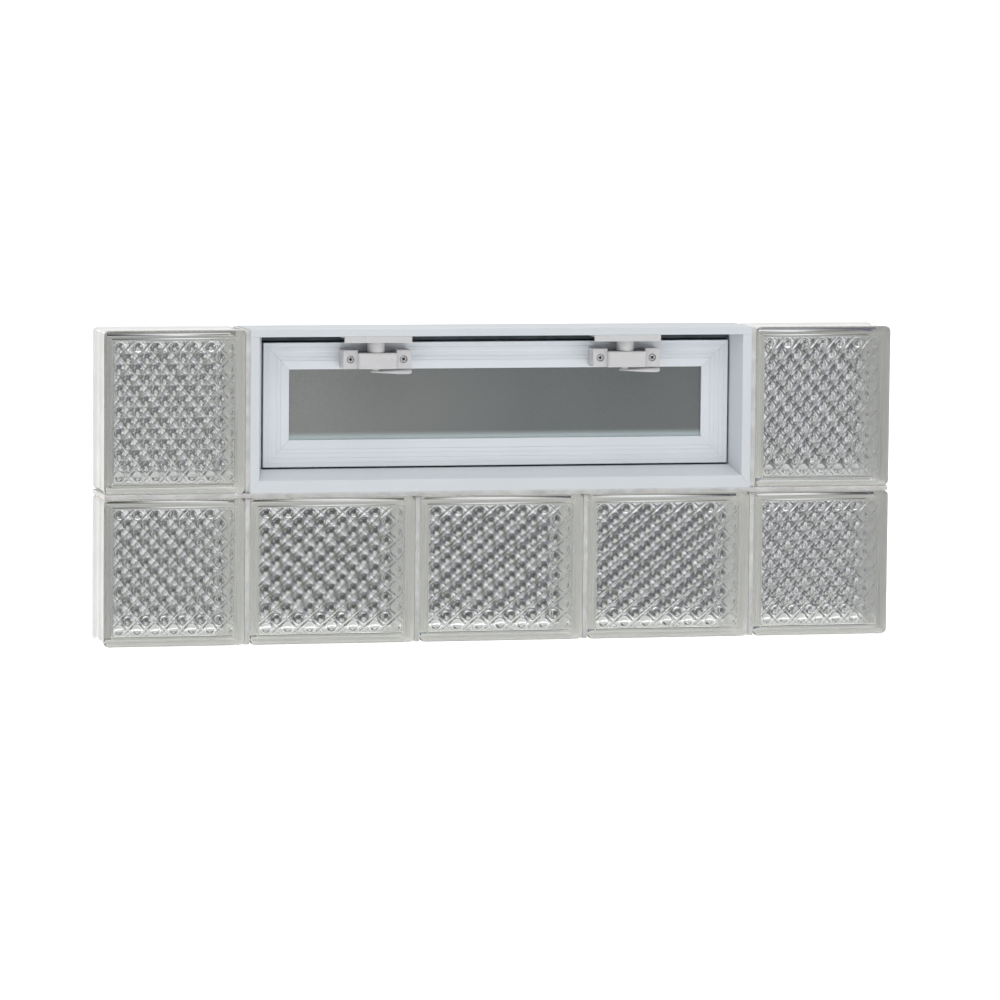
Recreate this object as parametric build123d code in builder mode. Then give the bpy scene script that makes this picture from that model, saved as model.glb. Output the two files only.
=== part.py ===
from build123d import *
from math import atan2, cos, radians, sin, tan
import os

# A ready-made panel of hollow glass blocks that fills a small window opening, with a
# vinyl hopper vent in its upper row. It is seen from the room, along +Y: X runs to the
# right, Z up, and the origin is in the middle of the base. Sizes are in millimetres.

# Panel: the blocks and the vent are bonded with silicone into one slab.
panel_width = 882.65
panel_height = 342.9
panel_depth = 79.375
joint_width = 5.0
joint_recess = 0.8
end_block_width = 155.0
lower_row_height = 160.4
between_count = 3

# Glass block: two pressed halves fused at a seam round the sealed hollow.
block_corner_cut = 3.0
block_edge_bevel = 1.5
flange_width = 8.0
flange_rise = 1.0
flange_draft = 45.0
lip_depth = 10.0
channel_depth = 2.5
seam_width = 3.0
seam_height = 1.2
side_wall = 7.5
pane_thickness = 8.0
room_half_draft = 4.5
outer_half_draft = 12.0
cells_across = 7
ridge_width = 4.0
ridge_height = 1.3

# Vent frame: n is the distance inward from the outer edge of a jamb. The sill is the
# same section drawn wider, and the head has a flat underside.
lip_width = 10.0
reveal_depth = 28.0
reveal_slope = 7.5
stop_width = 9.0
stop_thickness = 5.4
outer_lip_width = 12.0
sill_share = 1.34
head_lip = 8.0
head_recess = 6.0
head_step = 14.0
head_gasket_thickness = 1.0

# Sash: stepped section with loose glazing beads towards the room.
sash_gap = 2.0
sash_depth = 24.7
sash_band_width = 9.8
sash_band_step = 1.5
bead_width = 9.8
bead_thickness = 3.0
bead_slope = 2.0
glazing_leg = 3.7
glass_clearance = 1.5
glass_thickness = 3.0
spacer_width = 9.5
spacer_setback = 1.0

# Weatherstrip between sash and frame.
strip_thickness = 1.0
strip_bulb = 4.0
strip_flap = 5.5

# Pivot pins low in the sash stiles.
pin_radius = 3.0
pin_height = 14.0
pin_seat = 4.0
pin_clearance = 0.1

# Turn latches on the top rail of the sash.
latch_inset = 141.325
housing_width = 43.0
housing_depth = 27.0
housing_height = 17.3
housing_above_glass_edge = 1.8
housing_bevel = 1.5
ear_width = 16.0
ear_depth = 22.0
ear_height = 20.0
ear_lift = 0.4
screw_radius = 2.2
screw_head_radius = 4.2
screw_head_depth = 2.5
axis_setback = 11.7
shaft_radius = 4.0
shaft_clearance = 0.06
drum_radius = 9.75
drum_gap = 0.3
drum_top_gap = 2.6
lobe_reach = 15.5
lobe_width = 7.0
lobe_thickness = 4.0
lever_length = 36.0
lever_root_radius = 6.0
lever_tip_radius = 4.0
lever_root_thickness = 2.0
lever_thickness = 5.4
lever_gap = 1.0

# Keepers under the head of the frame.
keeper_width = 75.0
keeper_plate = 2.0
keeper_flange = 2.2
keeper_drop = 7.0
keeper_reach = 28.0

# Places that follow from the sizes above.
room_face = -panel_depth / 2
outer_face = panel_depth / 2
left_edge = -panel_width / 2
vent_width = panel_width - 2 * (end_block_width + joint_width)
vent_bottom = lower_row_height + joint_width
vent_top = panel_height
vent_height = vent_top - vent_bottom
vent_middle = (vent_top + vent_bottom) / 2
between_width = (vent_width - (between_count - 1) * joint_width) / between_count

sash_face = room_face + reveal_depth
step_edge = lip_width + reveal_slope
sash_half_width = vent_width / 2 - step_edge - sash_gap
sash_top = vent_top - head_step - sash_gap
sash_bottom = vent_bottom + step_edge * sill_share + sash_gap
sash_middle = (sash_top + sash_bottom) / 2
sash_half_height = (sash_top - sash_bottom) / 2
rebate_edge = 2 * sash_band_width
sight_edge = rebate_edge + bead_width
band_face = sash_face + sash_band_step
bead_back = band_face + bead_slope + bead_thickness
sash_back = sash_face + sash_depth
leg_face = sash_back - glazing_leg
stop_face = sash_back + strip_thickness
glass_edge = rebate_edge + glass_clearance

os.makedirs("parts", exist_ok=True)


def save(builder, name):
    """Label the finished piece and write it as its own file."""
    builder.part.label = name
    export_step(builder.part, f"parts/{name}.step")


def ridges(pane, turn, width, height, cell_width, cell_height):
    """Sloping ridges with a three-cornered section, half a cell off the middle of a pane, cut to its size."""
    lean = atan2(cell_height, cell_width)
    across = (sin(lean), 0, -turn * cos(lean))
    along = (cos(lean), 0, turn * sin(lean))
    with BuildPart() as pattern:
        with BuildSketch(Plane(origin=pane.origin, x_dir=across, z_dir=along)):
            for line in range(1 - cells_across, cells_across - 1):
                with Locations(((line + 0.5) * cell_width * sin(lean), 0)):
                    Polygon((-ridge_width / 2, 0), (ridge_width / 2, 0), (0, ridge_height), align=None)
        extrude(amount=width + height, both=True)
        with BuildSketch(pane):
            Rectangle(width, height)
        extrude(amount=ridge_height, both=True, mode=Mode.INTERSECT)
    return pattern.part


def glass_block(name, left, bottom, width, height):
    """A block with a flange round both faces, a key channel in its edges and a pressed pattern inside."""
    centre = (left + width / 2, room_face, bottom + height / 2)
    face = Plane(origin=centre, x_dir=(1, 0, 0), z_dir=(0, -1, 0))
    hollow_width = width - 2 * side_wall
    hollow_height = height - 2 * side_wall
    half_depth = panel_depth / 2 - pane_thickness
    cell_width = hollow_width / cells_across
    cell_height = hollow_height / cells_across
    with BuildPart() as block:
        with BuildSketch(face) as outline:
            Rectangle(width, height)
            chamfer(outline.vertices(), block_corner_cut)
        extrude(amount=-panel_depth)
        chamfer(block.faces().filter_by(Axis.Y).edges(), block_edge_bevel)
        channel_length = panel_depth - 2 * lip_depth
        with BuildSketch(face.offset(-lip_depth)):
            Rectangle(width, height)
            Rectangle(width - 2 * channel_depth, height - 2 * channel_depth, mode=Mode.SUBTRACT)
        extrude(amount=-channel_length, mode=Mode.SUBTRACT)
        with BuildSketch(face.offset((seam_width - panel_depth) / 2)):
            Rectangle(
                width - 2 * (channel_depth - seam_height), height - 2 * (channel_depth - seam_height)
            )
            Rectangle(hollow_width, hollow_height, mode=Mode.SUBTRACT)
        extrude(amount=-seam_width)
        for pane, side, draft, turn in ((0, -1, room_half_draft, 1), (-panel_depth, 1, outer_half_draft, -1)):
            with BuildSketch(face.offset(pane)):
                Rectangle(width - 2 * flange_width, height - 2 * flange_width)
            extrude(amount=side * flange_rise, taper=flange_draft, mode=Mode.SUBTRACT)
            with BuildSketch(face.offset(-panel_depth / 2)):
                Rectangle(hollow_width, hollow_height)
            extrude(amount=-side * half_depth, taper=draft, mode=Mode.SUBTRACT)
            foot = half_depth * tan(radians(draft))
            pane_width = hollow_width - 2 * foot
            pane_height = hollow_height - 2 * foot
            inside = face.offset(pane + side * pane_thickness)
            add(ridges(inside, turn, pane_width, pane_height, cell_width, cell_height))
    save(block, name)


def silicone_joint(name, left, right, bottom, top):
    """A strip of silicone between two edges, a little back from both faces."""
    centre = ((left + right) / 2, room_face + joint_recess, (bottom + top) / 2)
    with BuildPart() as strip:
        with BuildSketch(Plane(origin=centre, x_dir=(1, 0, 0), z_dir=(0, -1, 0))):
            Rectangle(right - left, top - bottom)
        extrude(amount=2 * joint_recess - panel_depth)
    save(strip, name)


def run_bar(outline, middle, inward, half_length, mode=Mode.ADD):
    """A bar of one section on both sides of its middle. The outline is in n, along inward, and Y."""
    along = Vector(inward).cross(Vector(0, 1, 0))
    with BuildSketch(Plane(origin=middle, x_dir=inward, z_dir=along)) as section:
        with BuildLine():
            Polyline(*outline, close=True)
        make_face()
    extrude(section.sketch, amount=half_length, both=True, mode=mode)


def pin_hole(turn):
    """The bore for a pivot pin through one jamb and stile."""
    with BuildSketch(Plane(origin=(turn * pin_x - pin_reach, pin_y, pin_z), z_dir=(1, 0, 0))) as bore:
        Circle(pin_radius + pin_clearance)
    extrude(bore.sketch, amount=2 * pin_reach, mode=Mode.SUBTRACT)


def sash_bars(outline, names):
    """Four bars of one section round the sash, cut at 45 degrees where they meet.

    The outline is in n from the edge of the sash and Y, and the names go top, bottom, left, right.
    """
    sides = (
        ((0, 0, sash_top), (0, 0, -1), sash_half_width),
        ((0, 0, sash_bottom), (0, 0, 1), sash_half_width),
        ((-sash_half_width, 0, sash_middle), (1, 0, 0), sash_half_height),
        ((sash_half_width, 0, sash_middle), (-1, 0, 0), sash_half_height),
    )
    for name, (middle, inward, half_length) in zip(names, sides):
        along = Vector(inward).cross(Vector(0, 1, 0))
        with BuildPart() as bar:
            run_bar(outline, middle, inward, half_length)
            for end in (along, -along):
                corner = Vector(middle) + end * half_length
                split(bisect_by=Plane(origin=corner, z_dir=end + Vector(inward)), keep=Keep.BOTTOM)
            if name.startswith("sash_stile"):
                pin_hole(-inward[0])
        save(bar, name)


def ring(name, layers):
    """Square-cornered rings round the sash, each from one n to another and one Y to another."""
    with BuildPart() as band:
        for outer_n, inner_n, near, far in layers:
            with BuildSketch(Plane(origin=(0, near, sash_middle), x_dir=(1, 0, 0), z_dir=(0, -1, 0))):
                Rectangle(2 * (sash_half_width - outer_n), 2 * (sash_half_height - outer_n))
                Rectangle(2 * (sash_half_width - inner_n), 2 * (sash_half_height - inner_n), mode=Mode.SUBTRACT)
            extrude(amount=near - far)
    save(band, name)


def glass_pane(name, near):
    """One sheet of the double glazing."""
    with BuildPart() as sheet:
        with BuildSketch(Plane(origin=(0, near, sash_middle), x_dir=(1, 0, 0), z_dir=(0, -1, 0))):
            Rectangle(2 * (sash_half_width - glass_edge), 2 * (sash_half_height - glass_edge))
        extrude(amount=-glass_thickness)
    save(sheet, name)


# Blocks of the lower row, from left to right, and the silicone between them.
widths = [end_block_width] + [between_width] * between_count + [end_block_width]
block_left = left_edge
for number, width in enumerate(widths, start=1):
    glass_block(f"glass_block_bottom_{number}", block_left, 0, width, lower_row_height)
    block_left += width
    if number < len(widths):
        silicone_joint(
            f"head_joint_bottom_{number}", block_left, block_left + joint_width, joint_recess, lower_row_height
        )
        block_left += joint_width

# Silicone between the rows, and the blocks at both ends of the upper row.
silicone_joint(
    "bed_joint", left_edge + joint_recess, -left_edge - joint_recess, lower_row_height, vent_bottom
)
glass_block("glass_block_top_left", left_edge, vent_bottom, end_block_width, vent_height)
glass_block("glass_block_top_right", vent_width / 2 + joint_width, vent_bottom, end_block_width, vent_height)
silicone_joint(
    "head_joint_top_left", -vent_width / 2 - joint_width, -vent_width / 2, vent_bottom, vent_top - joint_recess
)
silicone_joint(
    "head_joint_top_right", vent_width / 2, vent_width / 2 + joint_width, vent_bottom, vent_top - joint_recess
)

# Outer frame of the vent: a lip flush with the panel, a reveal that leans in towards
# the sash, a stop behind the sash, and a second lip outdoors.
jamb_outline = [
    (0, room_face),
    (lip_width, room_face),
    (step_edge, sash_face),
    (step_edge, stop_face),
    (step_edge + stop_width, stop_face),
    (step_edge + stop_width, stop_face + stop_thickness),
    (outer_lip_width, stop_face + stop_thickness),
    (outer_lip_width, outer_face),
    (0, outer_face),
]
sill_outline = [(sill_share * n, y) for n, y in jamb_outline]
head_outline = [
    (0, room_face),
    (head_lip, room_face),
    (head_lip, sash_face + head_recess),
    (head_step, sash_face + head_recess),
    (head_step, stop_face),
    (head_step + stop_width, stop_face),
    (head_step + stop_width, stop_face + stop_thickness),
    (head_lip, stop_face + stop_thickness),
    (head_lip, outer_face),
    (0, outer_face),
]
half_vent = vent_width / 2
head_place = ((0, 0, vent_top), (0, 0, -1), half_vent)
pin_x = sash_half_width + sash_gap / 2
pin_y = (band_face + leg_face) / 2
pin_z = sash_bottom + pin_height
pin_reach = sash_gap / 2 + pin_seat + pin_clearance

with BuildPart() as head:
    run_bar(head_outline, *head_place)
save(head, "frame_head")

with BuildPart() as sill:
    run_bar(sill_outline, (0, 0, vent_bottom), (0, 0, 1), half_vent)
    for turn in (-1, 1):
        mitre = Plane(origin=(turn * half_vent, 0, vent_bottom), z_dir=(turn * sill_share, 0, 1))
        split(bisect_by=mitre, keep=Keep.BOTTOM)
save(sill, "frame_sill")

for side, turn in (("left", -1), ("right", 1)):
    mitre = Plane(origin=(turn * half_vent, 0, vent_bottom), z_dir=(turn * sill_share, 0, 1))
    with BuildPart() as jamb:
        run_bar(jamb_outline, (turn * half_vent, 0, vent_middle), (-turn, 0, 0), vent_height / 2)
        run_bar(head_outline, *head_place, mode=Mode.SUBTRACT)
        split(bisect_by=mitre, keep=Keep.TOP)
        pin_hole(turn)
    save(jamb, f"frame_jamb_{side}")

# Gasket on the recess of the head, above the sash.
with BuildPart() as gasket:
    gasket_far = sash_face + head_recess
    with BuildSketch(Plane(origin=(0, gasket_far, vent_top), x_dir=(1, 0, 0), z_dir=(0, -1, 0))):
        with Locations((0, -(head_lip + head_step) / 2)):
            Rectangle(2 * (half_vent - step_edge), head_step - head_lip)
    extrude(amount=head_gasket_thickness)
save(gasket, "head_gasket")

# Sash members: two bands that step back towards the glass, and a leg behind the glass.
sash_bars(
    [
        (0, sash_face),
        (sash_band_width, sash_face),
        (sash_band_width, band_face),
        (rebate_edge, band_face),
        (rebate_edge, leg_face),
        (sight_edge, leg_face),
        (sight_edge, sash_back),
        (0, sash_back),
    ],
    ("sash_top_rail", "sash_bottom_rail", "sash_stile_left", "sash_stile_right"),
)

# Glazing beads: sloped strips that hold the glass in from the room.
sash_bars(
    [
        (rebate_edge, band_face),
        (sight_edge, band_face + bead_slope),
        (sight_edge, bead_back),
        (rebate_edge, bead_back),
    ],
    ("glazing_bead_top", "glazing_bead_bottom", "glazing_bead_left", "glazing_bead_right"),
)

# Double glazing, held between the beads and the leg of the sash.
glass_pane("inner_pane", bead_back)
glass_pane("outer_pane", leg_face - glass_thickness)
ring(
    "glazing_spacer",
    [
        (
            glass_edge + spacer_setback,
            glass_edge + spacer_setback + spacer_width,
            bead_back + glass_thickness,
            leg_face - glass_thickness,
        )
    ],
)

# Weatherstrip: a bulb in the gap round the sash and a flap against the stop.
ring(
    "weatherstrip",
    [
        (-sash_gap, 0, sash_back - strip_bulb, stop_face),
        (-sash_gap, strip_flap - sash_gap, sash_back, stop_face),
    ],
)

# Pins on which the sash tilts.
for side, turn in (("left", -1), ("right", 1)):
    with BuildPart() as pin:
        with BuildSketch(Plane(origin=(turn * pin_x, pin_y, pin_z), z_dir=(1, 0, 0))):
            Circle(pin_radius)
        extrude(amount=sash_gap / 2 + pin_seat, both=True)
    save(pin, f"sash_pivot_{side}")

# Latches: the lever turns a drum whose lobe swings behind the flange of the keeper.
head_underside = vent_top - head_lip
glass_line = sash_top - sight_edge
housing_bottom = glass_line + housing_above_glass_edge
housing_top = housing_bottom + housing_height
ear_front = sash_face - ear_depth
axis_y = sash_face - housing_depth + axis_setback
drum_top = head_underside - drum_top_gap
keeper_front = sash_face - keeper_reach

latch_offset = vent_width / 2 - latch_inset
for side, latch_x in (("left", -latch_offset), ("right", latch_offset)):
    with BuildPart() as keeper:
        with BuildSketch(Plane.XY.offset(head_underside)):
            with Locations((latch_x, (keeper_front + sash_face) / 2)):
                Rectangle(keeper_width, keeper_reach)
        extrude(amount=-keeper_plate)
        with BuildSketch(Plane.XY.offset(head_underside - keeper_plate)):
            with Locations((latch_x, keeper_front + keeper_flange / 2)):
                Rectangle(keeper_width, keeper_flange)
        extrude(amount=keeper_plate - keeper_drop)
    save(keeper, f"latch_keeper_{side}")

    with BuildPart() as base:
        with BuildSketch(Plane.XY.offset(housing_bottom)):
            with Locations((latch_x, sash_face - housing_depth / 2)):
                Rectangle(housing_width, housing_depth)
        extrude(amount=housing_height)
        chamfer(base.faces().sort_by(Axis.Y)[0].edges(), housing_bevel)
        for way in (-1, 1):
            ear_x = latch_x + way * (housing_width + ear_width) / 2
            with BuildSketch(Plane.XY.offset(housing_bottom + ear_lift)):
                with Locations((ear_x, sash_face - ear_depth / 2)):
                    Rectangle(ear_width, ear_depth)
            extrude(amount=ear_height)
            ear_middle = housing_bottom + ear_lift + ear_height / 2
            with Locations(Plane(origin=(ear_x, ear_front, ear_middle), z_dir=(0, -1, 0))):
                CounterBoreHole(screw_radius, screw_head_radius, screw_head_depth, ear_depth)
        with BuildSketch(Plane.XY.offset(housing_bottom)):
            with Locations((latch_x, axis_y)):
                Circle(shaft_radius + shaft_clearance)
        extrude(amount=housing_height, mode=Mode.SUBTRACT)
    save(base, f"latch_base_{side}")

    lever_top = housing_bottom - lever_gap
    lever_start = latch_x - lever_root_radius
    lever_end = latch_x + lever_length + lever_tip_radius
    with BuildPart() as lever:
        with BuildSketch(Plane.XY.offset(lever_top)):
            with Locations((latch_x, axis_y)):
                Circle(lever_root_radius)
            with Locations((latch_x + lever_length, axis_y)):
                Circle(lever_tip_radius)
            make_hull()
        extrude(amount=-lever_thickness)
        with BuildSketch(Plane.XZ.offset(-axis_y)):
            with BuildLine():
                Line((lever_start, lever_top), (lever_end, lever_top))
                Line((lever_end, lever_top), (lever_end, lever_top - lever_thickness))
                Line((lever_end, lever_top - lever_thickness), (latch_x + lever_length / 2, lever_top - lever_thickness))
                Line(
                    (latch_x + lever_length / 2, lever_top - lever_thickness),
                    (lever_start, lever_top - lever_root_thickness),
                )
                Line((lever_start, lever_top - lever_root_thickness), (lever_start, lever_top))
            make_face()
        extrude(amount=lever_root_radius, both=True, mode=Mode.INTERSECT)
        with BuildSketch(Plane.XY.offset(housing_bottom - lever_gap)):
            with Locations((latch_x, axis_y)):
                Circle(shaft_radius)
        extrude(amount=lever_gap + housing_height + drum_gap)
        with BuildSketch(Plane.XY.offset(housing_top + drum_gap)):
            with Locations((latch_x, axis_y)):
                Circle(drum_radius)
        extrude(amount=drum_top - housing_top - drum_gap)
        with BuildSketch(Plane.XY.offset(drum_top)):
            with Locations((latch_x - lobe_reach / 2, axis_y)):
                Rectangle(lobe_reach, lobe_width)
        extrude(amount=-lobe_thickness)
    save(lever, f"latch_lever_{side}")
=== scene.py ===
from math import cos, pi, radians, sin

import bpy
import numpy as np
from mathutils import Matrix, Vector


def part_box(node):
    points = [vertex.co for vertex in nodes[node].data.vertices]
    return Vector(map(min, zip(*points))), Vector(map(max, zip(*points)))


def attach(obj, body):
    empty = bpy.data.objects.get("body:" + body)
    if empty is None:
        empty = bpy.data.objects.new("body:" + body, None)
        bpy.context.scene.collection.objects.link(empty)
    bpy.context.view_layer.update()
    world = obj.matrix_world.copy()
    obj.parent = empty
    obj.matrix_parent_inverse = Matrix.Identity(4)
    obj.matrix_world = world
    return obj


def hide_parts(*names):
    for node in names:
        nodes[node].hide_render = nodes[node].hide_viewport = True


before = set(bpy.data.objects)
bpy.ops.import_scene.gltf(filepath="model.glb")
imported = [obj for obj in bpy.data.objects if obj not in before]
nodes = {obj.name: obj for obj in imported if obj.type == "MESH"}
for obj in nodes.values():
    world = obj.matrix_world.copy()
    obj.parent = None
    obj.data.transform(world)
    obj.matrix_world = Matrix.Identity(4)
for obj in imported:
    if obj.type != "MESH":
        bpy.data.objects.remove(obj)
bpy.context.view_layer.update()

# Camera: a long lens at the left of the panel and a little above it, as the photograph
# was taken. Place, turn and focal length come from a fit to the panel's corners.
camera_place = (-1.510, -6.342, 0.756)
camera_yaw = 13.45
camera_pitch = 5.30
camera_roll = 0.52
focal_pixels = 5946
frame_pixels = 1000
camera_data = bpy.data.cameras.new("camera")
camera_data.sensor_width = 36
camera_data.lens = focal_pixels / frame_pixels * camera_data.sensor_width
camera_data.clip_end = 100
camera = bpy.data.objects.new("camera", camera_data)
bpy.context.scene.collection.objects.link(camera)
camera.matrix_world = (
    Matrix.Translation(camera_place)
    @ Matrix.Rotation(radians(-camera_yaw), 4, "Z")
    @ Matrix.Rotation(radians(90 - camera_pitch), 4, "X")
    @ Matrix.Rotation(radians(camera_roll), 4, "Z")
)
bpy.context.scene.camera = camera


# Stage: a pale floor under the panel, and the soft light of a studio. The surround has
# slanted light and dark bands near the horizon, which give the pressed glass its contrast,
# and the glass shows them in place of the floor.
def material(name, **settings):
    """A new material whose Principled shader has the given socket values, and its nodes and links."""
    made = bpy.data.materials.new(name)
    made.use_nodes = True
    shader = made.node_tree.nodes["Principled BSDF"]
    for socket, value in settings.items():
        shader.inputs[socket.replace("_", " ")].default_value = value
    return made, made.node_tree.nodes, made.node_tree.links, shader


floor_half = 9.0
floor_mesh = bpy.data.meshes.new("floor")
floor_corners = [(x * floor_half, y * floor_half, 0) for x, y in ((-1, -1), (1, -1), (1, 1), (-1, 1))]
floor_mesh.from_pydata(floor_corners, [], [(0, 1, 2, 3)])
floor = bpy.data.objects.new("floor", floor_mesh)
bpy.context.scene.collection.objects.link(floor)
floor_paint = material(
    "floor_paint",
    Base_Color=(0.82, 0.82, 0.82, 1),
    Roughness=0.9,
    Emission_Color=(1, 1, 1, 1),
    Emission_Strength=0.5,
)
floor_mesh.materials.append(floor_paint[0])
floor.visible_transmission = False

world = bpy.data.worlds.new("studio")
bpy.context.scene.world = world
world.use_nodes = True
sky_nodes, sky_links = world.node_tree.nodes, world.node_tree.links
sky_direction = sky_nodes.new("ShaderNodeTexCoord")
sky_height = sky_nodes.new("ShaderNodeSeparateXYZ")
sky_ramp = sky_nodes.new("ShaderNodeValToRGB")
sky_seen = sky_nodes.new("ShaderNodeLightPath")
sky_mirror = sky_nodes.new("ShaderNodeMath")
sky_mirror.operation = "ABSOLUTE"
sky_folded = sky_nodes.new("ShaderNodeCombineXYZ")
sky_links.new(sky_direction.outputs["Generated"], sky_height.inputs[0])
sky_links.new(sky_height.outputs["X"], sky_mirror.inputs[0])
sky_links.new(sky_mirror.outputs[0], sky_folded.inputs["X"])
sky_links.new(sky_height.outputs["Z"], sky_folded.inputs["Z"])
band_softness = 0.7


def sky_bands(direction, band, middle):
    """Soft bands, the same left and right: a sine of the folded direction's share along one direction."""
    share = sky_nodes.new("ShaderNodeVectorMath")
    share.operation = "DOT_PRODUCT"
    share.inputs[1].default_value = direction
    phase = sky_nodes.new("ShaderNodeMath")
    phase.operation = "MULTIPLY_ADD"
    phase.inputs[1].default_value = 2 * pi / band
    phase.inputs[2].default_value = -2 * pi / band * middle
    wave = sky_nodes.new("ShaderNodeMath")
    wave.operation = "SINE"
    strength = sky_nodes.new("ShaderNodeMapRange")
    strength.interpolation_type = "SMOOTHSTEP"
    strength.inputs["From Min"].default_value = -band_softness
    strength.inputs["From Max"].default_value = band_softness
    sky_links.new(sky_folded.outputs[0], share.inputs[0])
    sky_links.new(share.outputs["Value"], phase.inputs[0])
    sky_links.new(phase.outputs[0], wave.inputs[0])
    sky_links.new(wave.outputs[0], strength.inputs["Value"])
    return strength.outputs[0]


def blended(nodes_in, links_in, factor, low, high):
    """A colour between two by a factor, each colour a tuple or another node's output."""
    blend = nodes_in.new("ShaderNodeMix")
    blend.data_type = "RGBA"
    links_in.new(factor, blend.inputs["Factor"])
    for socket, value in (("A", low), ("B", high)):
        if isinstance(value, tuple):
            blend.inputs[socket].default_value = (*value, 1)
        else:
            links_in.new(value, blend.inputs[socket])
    return blend.outputs["Result"]


rising = sky_bands((-1, 0, 1), 0.55, -0.324)
falling = sky_bands((1, 0, 1), 0.45, 0.14)
low_bands = blended(sky_nodes, sky_links, falling, (0.02, 0.02, 0.02), (0.19, 0.19, 0.24))
high_bands = blended(sky_nodes, sky_links, falling, (0.30, 0.30, 0.25), (1.24, 1.24, 1.24))
bands = blended(sky_nodes, sky_links, rising, low_bands, high_bands)
sky_open = sky_nodes.new("ShaderNodeValToRGB")
sky_rise = sky_nodes.new("ShaderNodeMapRange")
sky_rise.inputs["From Min"].default_value = -1.0
sky_links.new(sky_height.outputs["Z"], sky_rise.inputs["Value"])
sky_links.new(sky_rise.outputs[0], sky_ramp.inputs[0])
sky_links.new(sky_rise.outputs[0], sky_open.inputs[0])
sky_back = sky_nodes.new("ShaderNodeMapRange")
sky_back.inputs["From Min"].default_value = -0.2
sky_back.inputs["From Max"].default_value = 0.4
sky_links.new(sky_height.outputs["Y"], sky_back.inputs["Value"])
sky_behind = sky_nodes.new("ShaderNodeValToRGB")
sky_links.new(sky_rise.outputs[0], sky_behind.inputs[0])
sky_round = blended(sky_nodes, sky_links, sky_back.outputs[0], sky_ramp.outputs[0], sky_behind.outputs[0])
room = blended(sky_nodes, sky_links, sky_open.outputs[0], bands, sky_round)
backdrop = blended(sky_nodes, sky_links, sky_seen.outputs["Is Camera Ray"], room, (1.5, 1.5, 1.5))
sky_links.new(backdrop, sky_nodes["Background"].inputs["Color"])
sky_nodes["Background"].inputs["Strength"].default_value = 0.7


def sky_places(ramp, places):
    """Sets a ramp's stops, each a place and a brightness."""
    stops = ramp.color_ramp.elements
    while len(stops) < len(places):
        stops.new(0.5)
    for stop, (place, brightness) in zip(stops, places):
        stop.position = place
        stop.color = (brightness, brightness, brightness, 1)


sky_places(sky_ramp, ((0.0, 0.5), (0.30, 0.6), (0.5, 0.6), (0.72, 0.7), (0.86, 1.2), (1.0, 2.8)))
sky_places(sky_behind, ((0.0, 0.5), (0.30, 0.6), (0.5, 0.6), (0.66, 1.15), (0.8, 1.2), (0.95, 2.0)))
sky_places(sky_open, ((0.08, 1.0), (0.20, 0.0), (0.62, 0.0), (0.74, 1.0)))
bpy.context.scene.view_settings.view_transform = "Standard"
panel_middle_height = 0.17


def soft_light(name, place, size, power):
    """A square area light at a place, turned to the middle of the panel."""
    lamp = bpy.data.lights.new(name, "AREA")
    lamp.size = size
    lamp.energy = power
    holder = bpy.data.objects.new(name, lamp)
    bpy.context.scene.collection.objects.link(holder)
    from_panel = Vector(place)
    from_panel.z -= panel_middle_height
    holder.matrix_world = Matrix.Translation(place) @ from_panel.to_track_quat("Z", "Y").to_matrix().to_4x4()


soft_light("key_light", (-0.3, -1.3, 3.6), 1.8, 29)
soft_light("fill_light", (3.0, -3.0, 1.6), 2.0, 4)
soft_light("back_light", (0.6, 3.2, 2.6), 2.4, 15)


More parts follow.
